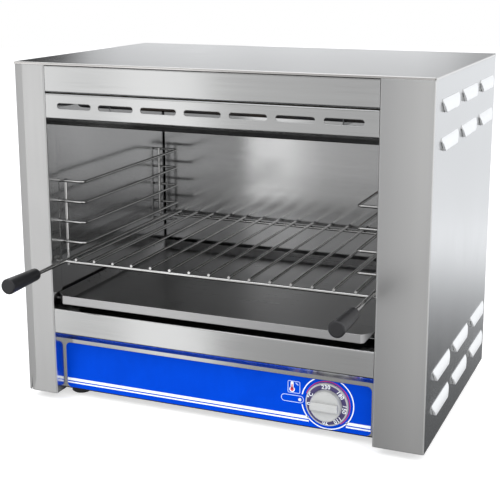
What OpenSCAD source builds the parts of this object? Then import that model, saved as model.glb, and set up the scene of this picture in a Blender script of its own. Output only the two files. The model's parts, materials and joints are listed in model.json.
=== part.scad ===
// Countertop cheese melter: a folded sheet-metal cabinet with an open cavity, electric heaters
// under the ceiling, wire rack guides, a pull-out grate with two handles and a crumb tray.
// Working frame: x from the cabinet's left side, y from the front plane into the depth,
// z up from the lower edge of the posts. The finished part is moved so that the middle of its
// footprint is the origin.

/* [Cabinet] */
// Width over the cover
cabinet_w = 600; // [570:5:660]
// Depth over the cover
cabinet_d = 388; // [378:5:443]
// Height from the lower edge of the posts to the top of the cover
cabinet_h = 486; // [476:2:540]
// Thickness of the outer sheet
sheet_t = 1.2; // [0.8:0.1:1.5]
// Outside radius of the folds in the outer sheet
bend_r = 2.5; // [2:0.25:3.5]
// Width of the left front post
left_post_w = 49; // [44:1:58]
// Width of the right front post, which hides the wiring duct
right_post_w = 69.5; // [60:0.5:84]
// How far the edge of each post is folded back beside the opening
post_return = 25; // [23:1:34]
// Width of the slanted fold at the outer edge of the left post
corner_fold_w = 14; // [10:1:18]
// Depth of that slanted fold
corner_fold_d = 2; // [1:0.5:4]
// Width of the hidden joining flanges
flange_w = 14; // [10:1:16]

/* [Cover] */
// Height of the lip at the front and sides of the cover, which stands on the cabinet's edge
cover_lip = 3.3; // [3:0.1:6]
// Height of the lip at the back of the cover
cover_rear_lip = 16; // [12:1:24]
// Gap between the lip at the back and the cabinet
cover_gap = 0.4; // [0.2:0.1:0.8]

/* [Front strips] */
// How far the strips lie behind the face of the posts
strip_setback = 1.4; // [1:0.2:2.4]
// Height of the plain strip under the cover
upper_strip_h = 38; // [32:0.5:44]
// Gap between the two upper strips
seam_gap = 1; // [0.6:0.1:1.4]
// Height of the slotted strip
vent_strip_h = 34.5; // [30:0.5:40]
// Number of vent slots
slot_count = 7; // [5:1:7]
// Length of a vent slot
slot_l = 53.5; // [40:0.5:56]
// Height of a vent slot
slot_h = 8; // [5:0.5:10]
// Distance from one vent slot to the next
slot_pitch = 65; // [60:0.5:65]
// Height of the strip under the cavity
lower_strip_h = 36.5; // [30:0.5:42]
// Height of that strip's lower edge above the posts' lower edge
lower_strip_z = 94; // [88:1:104]
// Rise and depth of the slanted return under a strip
return_drop = 11; // [8:0.5:14]
// Gap at each end of a strip
strip_gap = 0.3; // [0.2:0.1:0.5]

/* [Side louvres] */
// Number of louvres in a row
louvre_count = 3; // [2:1:3]
// Width of a louvre at its upper edge
louvre_w = 92; // [70:1:96]
// How much narrower each end is at the lower edge
louvre_taper = 12; // [6:1:16]
// Height of a louvre
louvre_h = 18; // [14:1:24]
// How far a louvre stands out
louvre_out = 4; // [3:0.5:5]
// Distance from one louvre to the next in a row
louvre_pitch = 118; // [110:1:120]
// Distance from one row to the next
louvre_row_pitch = 48.5; // [40:0.5:56]
// Distance from the front plane to the middle of the first louvre
louvre_first_y = 82; // [80:1:86]
// Height of the lowest louvre edge
louvre_low_z = 36.5; // [30:0.5:50]
// Distance from the top of the cabinet to the uppermost louvre edge
louvre_top_gap = 29; // [24:1:40]

/* [Control panel] */
// Height of the control panel
panel_h = 90; // [86:1:92]
// Bare metal to the left of the printed film
film_left_margin = 3; // [3:0.5:8]
// Bare metal to the right of the printed film
film_right_margin = 8.5; // [6:0.5:12]
// Height of the printed film
film_h = 69.6; // [66:0.2:71]
// Corner radius of the film
film_r = 7; // [4:1:10]
// Thickness of the film
film_t = 0.5; // [0.3:0.1:0.8]
// Distance from the right post's edge to the knob's axis
knob_from_post = 70; // [66:1:100]
// Height of the knob's axis
knob_z = 39.3; // [38:0.1:41]
// Diameter of the knob's skirt
skirt_d = 61; // [56:1:62]
// Thickness of the skirt
skirt_t = 3.4; // [2.5:0.1:4]
// Diameter of the knob's grip
knob_grip_d = 43; // [38:1:45]
// Height of the grip's round part
knob_grip_h = 9; // [7:0.5:10]
// Width of the bar across the grip
knob_bar_w = 12; // [9:0.5:14]
// Height of the bar over the round part
knob_bar_h = 5.5; // [4:0.5:6]
// Diameter of the thermostat's shaft
shaft_d = 6; // [5:0.5:7]
// Radial running clearance of that shaft
shaft_gap = 0.06; // [0.04:0.01:0.08]
// Diameter of the indicator lamp's lens
lamp_d = 4.6; // [4:0.2:6]
// Distance from the knob's axis to the lamp
lamp_from_knob = 39.5; // [35:0.5:44]

/* [Cavity] */
// Thickness of the cavity sheets
liner_t = 1; // [0.8:0.1:1.2]
// How far the cavity's side walls lie outside the opening
liner_offset = 3; // [2.6:0.2:5]
// Distance from the back of the cavity to the back of the cabinet
back_space = 26.5; // [24:0.5:34]
// Height of the ceiling over the slotted strip's lower edge
ceiling_rise = 26; // [24:0.5:28]
// Width of the open seam between the left wall and the back wall of the cavity
corner_seam = 1.7; // [1:0.1:2.5]
// Top edge of the tray runners above the cavity floor
runner_h = 10; // [8:0.1:11]
// Width of the tray runners
runner_w = 28; // [20:1:34]
// Thickness of the mineral wool over the ceiling
wool_top_t = 40; // [20:1:44]
// Thickness of the mineral wool beside the cavity
wool_side_t = 24; // [12:1:30]

/* [Rack guides] */
// Number of rack levels
rack_levels = 5; // [3:1:6]
// Height from one level to the next
rack_pitch = 30; // [26:1:32]
// Height of the lowest rail's axis above the cavity floor
rack_rise = 64.5; // [60:0.5:70]
// Diameter of a rail
rail_d = 4; // [3:0.5:5]
// How far the rails stand out from the wall
rail_reach = 39; // [34:1:44]
// Bend radius of a rail
rail_bend = 6; // [5:0.5:9]
// Distance from the front plane to the rails
rail_front_y = 35; // [32:1:40]
// Distance from the rails' rear end to the back of the cavity
rail_rear_gap = 26.5; // [20:0.5:40]
// Diameter of the uprights
upright_d = 5; // [4:0.5:6]
// Distance from the wall to the uprights' axis
upright_reach = 7; // [5:0.5:9]

/* [Grate] */
// Distance from the front plane to the grate's front rail
grate_front_y = 18; // [14:1:24]
// Distance from the rear rail to the back of the cavity
grate_rear_gap = 13.5; // [11:0.5:20]
// Diameter of the side rods
side_rod_d = 6; // [5:0.5:7]
// Diameter of the front and rear rails
cross_rail_d = 5; // [4:0.5:6]
// Diameter of the grate's wires
wire_d = 4; // [3:0.5:5]
// Number of wires
wire_count = 15; // [11:2:15]
// Distance from one wire to the next
wire_pitch = 30; // [26:0.5:30.5]
// How far the wires run past the front rail
wire_front_over = 2; // [1:0.5:4]
// How far the wires run past the rear rail
wire_rear_over = 8; // [4:0.5:9]
// Distance from the opening's edge to the side rods' axes
side_rod_in = 11; // [9:1:14]
// Clearance under the grate on its rails
seat_gap = 0.3; // [0.2:0.05:0.4]
// How far the grips reach in front of the cabinet
grip_reach = 124; // [110:1:135]
// Length of a grip
grip_l = 70; // [60:1:80]
// Diameter of a grip at its front end
grip_d = 21.5; // [19:0.5:24]
// Diameter of a grip at its neck
grip_neck_d = 15; // [13:0.5:17]
// Depth of the hole in a grip
grip_bore_l = 48; // [35:1:50]

/* [Crumb tray] */
// Thickness of the tray's sheet
tray_t = 1; // [0.8:0.1:1.2]
// Distance from the front plane to the tray's lip
tray_front_y = 1; // [0:0.5:6]
// Distance from the tray's back to the back of the cavity
tray_rear_gap = 11.5; // [8:0.5:20]
// Gap between the tray's rim and the left post
tray_left_gap = 1.5; // [1:0.5:5]
// Gap between the tray's rim and the right post
tray_right_gap = 4.5; // [1:0.5:6]
// Height of the tray's lip and sides
tray_h = 12.2; // [10:0.2:16]
// How far the sides and the back lean outwards
tray_lean = 10; // [4:0.5:11]
// Size of the cut front corners
tray_cut = 14; // [12:1:18]
// Clearance under the tray on its runners
tray_gap = 0.2; // [0.2:0.05:0.3]

/* [Heaters] */
// Number of heating elements
heater_count = 3; // [3:1:3]
// Diameter of a heater tube
heater_d = 8.5; // [8:0.5:9]
// Distance between the two legs of an element
heater_leg_gap = 40; // [34:1:44]
// Distance from one element to the next
heater_pitch = 92; // [86:1:94]
// Distance from the front plane to the first leg
heater_first_y = 72; // [66:1:76]
// Distance from the ceiling to the tubes' axes
heater_drop = 15; // [13:0.5:18]
// Distance from the left wall to the bends
heater_end_gap = 10; // [8:1:20]

/* [Feet and back] */
// Height of a foot
foot_h = 12; // [10:1:16]
// Diameter of a foot
foot_d = 30; // [26:1:32]
// Distance from the front plane to the front feet's axes
foot_front_y = 52; // [46:1:60]
// Distance from the cabinet's sides to the feet's axes
foot_side_x = 60; // [54:1:66]
// Diameter of the hole in the cable gland
gland_bore_d = 9; // [7:0.5:10]
// Distance from the cabinet's right side to the gland
gland_from_right = 70; // [64:1:90]
// Height of the gland's axis
gland_z = 44; // [36:1:60]

/* [Hidden] */
$fn = 48;
// Steps in the arc of a sheet-metal fold
bend_steps = 4;
// Overlap that carries a cut cleanly through a surface
cut = 0.5;
// Space between the surfaces of two wires that are welded where they touch
touch = 0.02;

// Cabinet planes
// Space left under the cover's lip
cover_seat = 0.05;
// Distance from the face of a sheet to a part that is fitted just inside it
fitted = sheet_t + cover_gap;
body_top = cabinet_h - cover_lip - cover_seat;
body_back = cabinet_d - fitted;
cover_r = 1.25 * sheet_t;
left_edge = left_post_w;
right_edge = cabinet_w - right_post_w;
mid_x = (left_edge + right_edge) / 2;
opening_w = right_edge - left_edge;

// Front strips
strip_y = strip_setback;
strip_x = left_edge + strip_gap;
strip_l = opening_w - 2 * strip_gap;
strip_flange = 12;
upper_strip_z = body_top - upper_strip_h;
vent_strip_top = upper_strip_z - seam_gap;
vent_strip_z = vent_strip_top - vent_strip_h;
return_y = strip_y + return_drop;
return_shelf = 8;
lower_strip_top = lower_strip_z + lower_strip_h;

// Cavity
cavity_left = left_edge - liner_offset;
cavity_right = right_edge + liner_offset;
cavity_back = cabinet_d - back_space;
floor_z = lower_strip_top - sheet_t;
ceiling_z = vent_strip_z + ceiling_rise;
liner_r = 1.6;
ceiling_front = strip_y + sheet_t + strip_gap;
seam_flange = 8;

// Rack and grate
rail_z0 = floor_z + rack_rise;
rail_x = cavity_left + rail_reach;
rail_rear_y = cavity_back - rail_rear_gap;
upright_offset = (rail_d + upright_d) / 2 + touch;
side_rod_z = rail_z0 + rail_d / 2 + seat_gap + side_rod_d / 2;
cross_rail_z = side_rod_z - side_rod_d / 2 + cross_rail_d / 2;
wire_z = cross_rail_z + (cross_rail_d + wire_d) / 2 + touch;
grate_rear_y = cavity_back - grate_rear_gap;
left_rod_x = left_edge + side_rod_in;
right_rod_x = right_edge - side_rod_in;
grip_end_y = -grip_reach;
bore_gap = 0.05;

// Tray
runner_top = floor_z + runner_h;
tray_z = runner_top + tray_gap;
tray_left = left_edge + tray_left_gap;
tray_right = right_edge - tray_right_gap;
tray_back_y = cavity_back - tray_rear_gap;

// Control panel
panel_y = post_return;
panel_overlap = 4;
film_z = bend_r + 0.1;
knob_x = right_edge - knob_from_post;
skirt_gap = 0.6;
skirt_back_y = panel_y - film_t - skirt_gap;
skirt_front_y = skirt_back_y - skirt_t;
grip_front_y = skirt_front_y - knob_grip_h;
knob_hub_d = 0.6 * knob_grip_d;
shaft_flat = 0.25 * shaft_d;
shaft_reach = panel_y - grip_front_y - 2;
spade_l = 8;
thermostat_size = [46, 34, 46];
thermostat_y = panel_y + sheet_t;
spade_x = [for (i = [-1, 1]) knob_x + i * thermostat_size[0] * 0.3];
bushing_d = 10;
bushing_l = 5;
shaft_back = 8;
lamp_x = knob_x - lamp_from_knob;
lamp_rim = 2.4;

// Heaters
heater_z = ceiling_z - heater_drop;
heater_left = cavity_left + heater_end_gap;
heater_stub = 12;
heater_gap = 0.3;
insulator_d = 12;
insulator_l = 10;
hanger_t = 1.2;
hanger_inset = 70;
hanger_below = 5;
bulb_d = 6;
bulb_l = 110;
bulb_below = 36;
bulb_behind = 9;
bulb_from_wall = 24;
bulb_z = ceiling_z - bulb_below;
bulb_y = cavity_back - bulb_behind;
bulb_end_x = cavity_right - bulb_from_wall;
capillary_d = 2;
capillary_loop = 14;
// Space kept free beside the outer sheets for the capillary
duct_w = 12;
wool_margin = 8;
side_wool_y = post_return + 3 * wool_margin;
side_wool_z = floor_z + wool_margin;
lead_d = 3;
stud_l = 8;

// Base, back and origin
base_z = sheet_t;
back_t = 1;
back_y = body_back - back_t;
base_front = panel_y + bend_r + 0.5;
base_back = back_y - bend_r;
back_screw_in = flange_w * 0.55;
back_screw_end = 44;
back_screw_rows = 4;
back_screw_heights = [for (k = [0:back_screw_rows - 1])
    back_screw_end + k * (cabinet_h - 2 * back_screw_end) / (back_screw_rows - 1)];
screw_head_d = 7;
screw_head_h = 2.2;
screw_d = 4;
screw_hole_d = screw_d + 0.4;
screw_l = 6;
gland_x = cabinet_w - gland_from_right;
gland_hex = 19;
gland_out = 16;
gland_flange_l = 6;
gland_thread_d = gland_bore_d + 7;
gland_thread_l = 12;
gland_nut_l = 5;
block_size = [48, 20, 22];
block_from_back = 54;
block_y = body_back - block_from_back - block_size[1];
rear_reach = body_back + gland_out;
origin_shift = [-cabinet_w / 2, -(rear_reach - grip_reach) / 2, foot_h];

// ---------- helpers ----------
function unit(v) = v / norm(v);
function left_of(d) = [-d[1], d[0]];
function turn(a, b) = atan2(a[0] * b[1] - a[1] * b[0], a * b);
function reversed(v) = [for (i = [len(v) - 1:-1:0]) v[i]];

// Points of one fold at corner i of a sheet's line p. side is +1 where the sheet's thickness
// lies to the left of the line. on_line gives the line's own points, else the far surface's.
function fold_points(p, i, side, t, r, on_line) =
    let (d1 = unit(p[i] - p[i - 1]),
         d2 = unit(p[i + 1] - p[i]),
         a = turn(d1, d2),
         s = sign(a),
         line_r = s == side ? r : r - t,
         far_r = s == side ? r - t : r,
         c = p[i] - d1 * line_r * tan(abs(a) / 2) + left_of(d1) * s * line_r,
         from = -s * left_of(d1),
         a0 = atan2(from[1], from[0]),
         rr = on_line ? line_r : far_r)
    [for (k = [0:bend_steps]) c + rr * [cos(a0 + a * k / bend_steps), sin(a0 + a * k / bend_steps)]];

// Closed outline of a folded sheet whose visible surface follows the line p
function folded(p, side, t, r) =
    let (n = len(p) - 1,
         d0 = unit(p[1] - p[0]),
         d1 = unit(p[n] - p[n - 1]))
    concat([p[0]],
        [for (i = [1:n - 1]) each fold_points(p, i, side, t, r, true)],
        [p[n], p[n] + left_of(d1) * side * t],
        [for (i = [n - 1:-1:1]) each reversed(fold_points(p, i, side, t, r, false))],
        [p[0] + left_of(d0) * side * t]);

module placed() {
    translate(origin_shift) children();
}

module mirrored() {
    translate([2 * mid_x, 0, 0]) mirror([1, 0, 0]) children();
}

// A profile drawn in (y, z), run along x
module along_x(x, l) {
    translate([x, 0, 0]) rotate([90, 0, 90]) linear_extrude(l) children();
}

// A profile drawn in (x, z), run along y
module along_y(y, l) {
    translate([0, y + l, 0]) rotate([90, 0, 0]) linear_extrude(l) children();
}

// A round rod from p to q
module rod(p, q, d) {
    v = q - p;
    translate(p)
        rotate([0, acos(v[2] / norm(v)), atan2(v[1], v[0])])
            cylinder(h = norm(v), d = d);
}

// A wire bent with radius r at each inner point of the route
module wire(route, d, r) {
    n = len(route) - 1;
    trims = [for (i = [0:n]) i == 0 || i == n ? 0 :
        r * tan(angle_between(route[i] - route[i - 1], route[i + 1] - route[i]) / 2)];
    for (i = [0:n - 1]) {
        u = unit(route[i + 1] - route[i]);
        rod(route[i] + u * trims[i], route[i + 1] - u * trims[i + 1], d);
    }
    for (i = [1:1:n - 1]) {
        wire_bend(route[i], unit(route[i] - route[i - 1]), unit(route[i + 1] - route[i]), d, r);
    }
}

function angle_between(a, b) = acos((a * b) / (norm(a) * norm(b)));

module wire_bend(corner, a, b, d, r) {
    angle = angle_between(a, b);
    n = unit(cross(a, b));
    x_dir = cross(a, n);
    start = corner - a * r * tan(angle / 2);
    c = start - x_dir * r;
    multmatrix([[x_dir[0], a[0], n[0], c[0]],
                [x_dir[1], a[1], n[1], c[1]],
                [x_dir[2], a[2], n[2], c[2]],
                [0, 0, 0, 1]])
        rotate_extrude(angle = angle) translate([r, 0]) circle(d = d);
}

// A slot with round ends, standing in the x-z plane and cut along y
module slot_y(l, h, depth) {
    cube([l - h, depth, h], center = true);
    for (s = [-1, 1]) {
        translate([s * (l - h) / 2, 0, 0]) rotate([90, 0, 0]) cylinder(h = depth, d = h, center = true);
    }
}

// A pan-head screw whose head's underside lies at the origin, head towards +z
module screw(head_d, head_h, d, l) {
    cylinder(h = head_h * 0.55, d = head_d);
    translate([0, 0, head_h * 0.55]) cylinder(h = head_h * 0.45, d1 = head_d, d2 = head_d * 0.62);
    translate([0, 0, -l]) cylinder(h = l + cut, d = d);
}

// ---------- side panels with posts and pressed louvres ----------
// Outline of a louvre in (y, z), wide at the upper edge
function louvre_outline(trim) = [
    [-louvre_w / 2 + trim, louvre_h - trim],
    [-louvre_w / 2 + trim, louvre_h * 0.72],
    [-louvre_w / 2 + louvre_taper + trim, -trim * 0.5],
    [louvre_w / 2 - louvre_taper - trim, -trim * 0.5],
    [louvre_w / 2 - trim, louvre_h * 0.72],
    [louvre_w / 2 - trim, louvre_h - trim]];

// Section of a louvre's hood in (x, z): an arc from the upper crease towards the lower lip
function louvre_arc(out) =
    let (r = (louvre_h * louvre_h + out * out) / (2 * out), n = 5)
    [for (k = [0:n - 1]) let (z = louvre_h * (1 - k / n)) [out - r + sqrt(r * r - z * z), z]];

module louvre_solid(out, trim, inward, z_low) {
    intersection() {
        rotate([90, 0, 0])
            linear_extrude(louvre_w, center = true)
                polygon(concat([[-inward, louvre_h]], louvre_arc(out), [[out, z_low], [-inward, z_low]]));
        translate([-inward, 0, 0])
            rotate([90, 0, 90])
                linear_extrude(inward + out + 1) polygon(louvre_outline(trim));
    }
}

module at_louvres() {
    rows = [louvre_low_z, louvre_low_z + louvre_row_pitch,
        cabinet_h - louvre_top_gap - louvre_h - louvre_row_pitch,
        cabinet_h - louvre_top_gap - louvre_h];
    for (z = rows, i = [0:louvre_count - 1]) {
        translate([0, louvre_first_y + i * louvre_pitch, z]) children();
    }
}

// One side of the cabinet, drawn as the right one: its outer face is the plane x = 0 and
// post_line is the plan line from the post's return to the front corner.
module side_sheet(post_line) {
    line = concat(post_line, [[0, back_y], [-flange_w, back_y]]);
    flange_y = post_return + strip_flange / 2;
    difference() {
        union() {
            linear_extrude(body_top) polygon(folded(line, 1, sheet_t, bend_r));
            for (z = [0, body_top - sheet_t]) {
                translate([-flange_w, flange_y, z])
                    cube([flange_w - sheet_t / 2, back_y - 2 * flange_w - flange_y, sheet_t]);
            }
            at_louvres() louvre_solid(louvre_out, 0, sheet_t / 2, 0);
        }
        at_louvres() translate([-sheet_t, 0, 0])
            louvre_solid(louvre_out, sheet_t, sheet_t, -cut);
        for (z = back_screw_heights) {
            translate([-back_screw_in, back_y, z]) rotate([90, 0, 0])
                cylinder(h = 4 * sheet_t, d = screw_d + 2 * bore_gap, center = true);
        }
    }
}

module post_foot(x, w) {
    translate([x, sheet_t / 2, 0]) cube([w, flange_w - sheet_t, sheet_t]);
}

module right_side_panel() {
    post_x = -right_post_w;
    color("gainsboro") placed() translate([cabinet_w, 0, 0]) {
        side_sheet([[post_x, post_return], [post_x, 0], [0, 0]]);
        post_foot(post_x + 2 * sheet_t, right_post_w - 4 * sheet_t);
    }
}

module left_side_panel() {
    post_x = -left_post_w;
    fold_x = -corner_fold_w;
    flap_h = 19;
    flap_end = fold_x + 0.4 * corner_fold_w;
    color("gainsboro") placed() mirror([1, 0, 0]) {
        difference() {
            side_sheet([[post_x, post_return], [post_x, 0], [fold_x, 0], [0, corner_fold_d]]);
            corner_slit(fold_x);
        }
        post_foot(post_x + 2 * sheet_t, left_post_w - corner_fold_w - 3 * sheet_t);
        // Flap at the lower corner, where the slanted fold runs out
        along_y(0, sheet_t) polygon([[fold_x - sheet_t, flap_h], [fold_x, flap_h],
            [flap_end, 0], [fold_x - sheet_t, 0]]);
    }
}

// Narrow relief slit at the foot of the slanted fold
module corner_slit(fold_x) {
    slit_h = 23;
    slit_w = 1.8;
    foot_x = 0.42 * fold_x;
    along_y(-cut, corner_fold_d + 2 * sheet_t + cut)
        polygon([[foot_x, -cut], [foot_x + slit_w, -cut], [0.5 * fold_x, slit_h]]);
}

// ---------- cover, base and back ----------
module top_cover() {
    depth_line = [[0, cabinet_h - cover_lip], [0, cabinet_h], [cabinet_d, cabinet_h],
        [cabinet_d, cabinet_h - cover_rear_lip]];
    width_line = [[0, cabinet_h - cover_lip], [0, cabinet_h], [cabinet_w, cabinet_h],
        [cabinet_w, cabinet_h - cover_lip]];
    color("whitesmoke") placed() difference() {
        union() {
            along_x(cover_r, cabinet_w - 2 * cover_r) polygon(folded(depth_line, -1, sheet_t, cover_r));
            along_y(cover_r, cabinet_d - 2 * cover_r) polygon(folded(width_line, -1, sheet_t, cover_r));
        }
        at_cover_screws() cylinder(h = 4 * sheet_t, d = screw_hole_d, center = true);
    }
}

// Children are turned so that their z points out of the back
module at_cover_screws() {
    for (x = [cabinet_w * 0.2, cabinet_w / 2, cabinet_w * 0.8]) {
        translate([x, cabinet_d, cabinet_h - cover_rear_lip * 0.55]) rotate([-90, 0, 0]) children();
    }
}

module at_back_screws() {
    for (x = [back_screw_in, cabinet_w - back_screw_in], z = back_screw_heights) {
        translate([x, body_back, z]) rotate([-90, 0, 0]) children();
    }
}

module back_panel() {
    low = base_z + sheet_t;
    color("silver") placed() difference() {
        translate([fitted, back_y, low]) cube([cabinet_w - 2 * fitted, back_t, body_top - low]);
        at_back_screws() cylinder(h = 4 * sheet_t, d = screw_hole_d, center = true);
        at_cover_screws() translate([0, 0, -fitted])
            cylinder(h = 4 * sheet_t, d = screw_hole_d, center = true);
        translate([gland_x, back_y, gland_z]) rotate([90, 0, 0])
            cylinder(h = 4 * back_t, d = gland_thread_d + 0.4, center = true);
    }
}

module base_plate() {
    color("silver") placed() difference() {
        translate([fitted, base_front, base_z])
            cube([cabinet_w - 2 * fitted, base_back - base_front, sheet_t]);
        at_feet() cylinder(h = 8 * sheet_t, d = screw_hole_d, center = true);
    }
}

module at_feet() {
    for (x = [foot_side_x, cabinet_w - foot_side_x], y = [foot_front_y, cabinet_d - foot_front_y]) {
        translate([x, y, base_z]) children();
    }
}

module feet() {
    recess_d = screw_head_d + 4;
    bevel = 2;
    color("dimgray") placed() at_feet() difference() {
        translate([0, 0, -foot_h - base_z]) {
            cylinder(h = bevel, d1 = foot_d - 2.5 * bevel, d2 = foot_d);
            translate([0, 0, bevel]) cylinder(h = foot_h + base_z - bevel, d = foot_d);
        }
        translate([0, 0, -foot_h - base_z - cut]) cylinder(h = foot_h / 2 + cut, d = recess_d);
        cylinder(h = 4 * foot_h, d = screw_hole_d, center = true);
    }
}

module foot_screws() {
    color("silver") placed() at_feet()
        translate([0, 0, -base_z - foot_h / 2]) mirror([0, 0, 1])
            screw(screw_head_d, screw_head_h, screw_d, foot_h / 2 + base_z + 4);
}

module back_screws() {
    color("silver") placed() at_back_screws()
        screw(screw_head_d, screw_head_h, screw_d, back_t + sheet_t / 2);
}

module cover_screws() {
    color("silver") placed() at_cover_screws() screw(screw_head_d, screw_head_h, screw_d, screw_l);
}

// ---------- front strips ----------
module strip_ends(z, h) {
    for (x = [strip_x, strip_x + strip_l - sheet_t]) {
        translate([x, strip_y + sheet_t / 2, z]) cube([sheet_t, strip_flange - sheet_t, h]);
    }
}

module upper_front_strip() {
    back = strip_y + strip_flange;
    line = [[back, upper_strip_z], [strip_y, upper_strip_z], [strip_y, body_top], [back, body_top]];
    color("lightgray") placed() {
        along_x(strip_x, strip_l) polygon(folded(line, -1, sheet_t, bend_r));
        strip_ends(upper_strip_z + sheet_t / 2, upper_strip_h - sheet_t);
    }
}

module vent_strip() {
    line = [[strip_y + strip_flange, vent_strip_top], [strip_y, vent_strip_top],
        [strip_y, vent_strip_z], [return_y, vent_strip_z - return_drop],
        [return_y + return_shelf, vent_strip_z - return_drop]];
    first_x = mid_x - slot_pitch * (slot_count - 1) / 2;
    color("lightgray") placed() difference() {
        union() {
            along_x(strip_x, strip_l) polygon(folded(line, 1, sheet_t, bend_r));
            strip_ends(vent_strip_z + bend_r, vent_strip_h - bend_r - sheet_t / 2);
        }
        for (i = [0:slot_count - 1]) {
            translate([first_x + i * slot_pitch, strip_y, vent_strip_z + vent_strip_h / 2])
                slot_y(slot_l, slot_h, 3 * bend_r);
        }
    }
}

module lower_front_strip() {
    line = [[strip_y + 1.6 * strip_flange, lower_strip_top], [strip_y, lower_strip_top],
        [strip_y, lower_strip_z], [return_y, lower_strip_z - return_drop],
        [panel_y - strip_gap, lower_strip_z - return_drop]];
    color("lightgray") placed() {
        along_x(strip_x, strip_l) polygon(folded(line, 1, sheet_t, bend_r));
        strip_ends(lower_strip_z + bend_r, floor_z - liner_t - lower_strip_z - bend_r - strip_gap);
    }
}

// ---------- control panel ----------
module control_panel() {
    flange = min(flange_w, foot_front_y - foot_d / 2 - panel_y - 1);
    line = [[panel_y + flange, panel_h], [panel_y, panel_h], [panel_y, 0], [panel_y + flange, 0]];
    color("silver") placed() difference() {
        along_x(left_edge - panel_overlap, opening_w + 2 * panel_overlap)
            polygon(folded(line, 1, sheet_t, bend_r));
        at_knob() cylinder(h = 6 * sheet_t, d = bushing_d + 0.4, center = true);
        at_lamp() cylinder(h = 6 * sheet_t, d = lamp_d + lamp_rim, center = true);
    }
}

// Children's z points out of the panel towards the user
module at_knob() {
    translate([knob_x, panel_y, knob_z]) rotate([90, 0, 0]) children();
}

module at_lamp() {
    translate([lamp_x, panel_y, knob_z]) rotate([90, 0, 0]) children();
}

module printed_film() {
    w = opening_w - film_left_margin - film_right_margin;
    color("royalblue") placed() difference() {
        translate([left_edge + film_left_margin, panel_y, film_z]) {
            translate([film_r, -film_t, 0]) cube([w - 2 * film_r, film_t, film_h]);
            translate([0, -film_t, film_r]) cube([w, film_t, film_h - 2 * film_r]);
            for (x = [film_r, w - film_r], z = [film_r, film_h - film_r]) {
                translate([x, 0, z]) rotate([90, 0, 0]) cylinder(h = film_t, r = film_r);
            }
        }
        at_knob() cylinder(h = 4 * film_t, d = bushing_d + 0.4, center = true);
        at_lamp() cylinder(h = 4 * film_t, d = lamp_d + 0.4, center = true);
    }
}

module thermostat_body() {
    spade = [6, spade_l + cut, 12];
    color("tan") placed() {
        difference() {
            union() {
                translate([knob_x - thermostat_size[0] / 2, thermostat_y, knob_z - thermostat_size[2] / 2])
                    cube(thermostat_size);
                at_knob() translate([0, 0, -sheet_t - cut])
                    cylinder(h = bushing_l + cut - 1, d = bushing_d);
            }
            at_knob() translate([0, 0, -sheet_t - shaft_back])
                cylinder(h = shaft_back + bushing_l + sheet_t, r = shaft_d / 2 + shaft_gap);
        }
        for (x = spade_x) {
            translate([x - spade[0] / 2, thermostat_y + thermostat_size[1] - cut, knob_z - spade[2] / 2])
                cube(spade);
        }
    }
}

module thermostat_shaft() {
    end_gap = 0.2;
    back_l = sheet_t + shaft_back - end_gap;
    color("silver") placed() at_knob() difference() {
        translate([0, 0, -back_l]) cylinder(h = back_l + shaft_reach, d = shaft_d);
        translate([-shaft_d, shaft_d / 2 - shaft_flat, bushing_l]) cube([2 * shaft_d, shaft_d, shaft_reach]);
    }
}

// D-shaped hole that fits the end of the shaft
module shaft_hole(reach) {
    difference() {
        cylinder(h = reach, r = shaft_d / 2 + bore_gap);
        translate([-shaft_d, shaft_d / 2 - shaft_flat + bore_gap, -cut])
            cube([2 * shaft_d, shaft_d, reach + 2 * cut]);
    }
}

module knob_skirt() {
    base = panel_y - skirt_back_y;
    rim = 2;
    color("lightgray") placed() at_knob() translate([0, 0, base]) difference() {
        union() {
            cylinder(h = skirt_t - rim / 2, d = skirt_d);
            translate([0, 0, skirt_t - rim / 2]) cylinder(h = rim / 2, d1 = skirt_d, d2 = skirt_d - rim);
        }
        translate([0, 0, -cut]) cylinder(h = skirt_t + 2 * cut, d = knob_hub_d);
    }
}

module knob_grip() {
    base = panel_y - skirt_front_y;
    foot = base - skirt_t;
    top = base + knob_grip_h;
    edge = 2;
    ridge_z = top + 0.6 * knob_bar_h;
    color("whitesmoke") placed() at_knob() difference() {
        union() {
            translate([0, 0, base]) cylinder(h = knob_grip_h - edge, d1 = knob_grip_d + 1, d2 = knob_grip_d);
            translate([0, 0, top - edge]) cylinder(h = edge, d1 = knob_grip_d, d2 = knob_grip_d - 2 * edge);
            translate([0, 0, foot]) cylinder(h = skirt_t + cut, d = knob_hub_d - 2 * bore_gap);
            intersection() {
                translate([0, 0, base + cut])
                    cylinder(h = knob_grip_h + knob_bar_h, d = knob_grip_d - 2 * edge);
                // Section of the bar, its width along y and its height towards -x
                rotate([0, 90, 0]) linear_extrude(knob_grip_d, center = true)
                    polygon([[-base - 2 * cut, -knob_bar_w / 2], [-ridge_z, -knob_bar_w / 2],
                        [-top - knob_bar_h, -0.3 * knob_bar_w], [-top - knob_bar_h, 0.3 * knob_bar_w],
                        [-ridge_z, knob_bar_w / 2], [-base - 2 * cut, knob_bar_w / 2]]);
            }
        }
        translate([0, 0, foot - cut]) cylinder(h = bushing_l - foot + 1 + cut, d = bushing_d + 1);
        translate([0, 0, foot]) shaft_hole(shaft_reach - foot);
    }
}

module indicator_lamp() {
    body_l = 18;
    color("white") placed() at_lamp() {
        translate([0, 0, -sheet_t]) cylinder(h = sheet_t + film_t + 0.6, d = lamp_d);
        translate([0, 0, -sheet_t - body_l]) cylinder(h = body_l, d = lamp_d + 2 * lamp_rim);
    }
}

// ---------- cavity ----------
// The left wall of the cavity, from the post's return to the plane y = rear_y
module cavity_wall(rear_y) {
    line = [[left_edge - strip_gap, post_return + liner_t], [cavity_left, post_return + liner_t],
        [cavity_left, rear_y]];
    translate([0, 0, floor_z]) linear_extrude(ceiling_z - floor_z)
        polygon(folded(line, 1, liner_t, liner_r));
}

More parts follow.
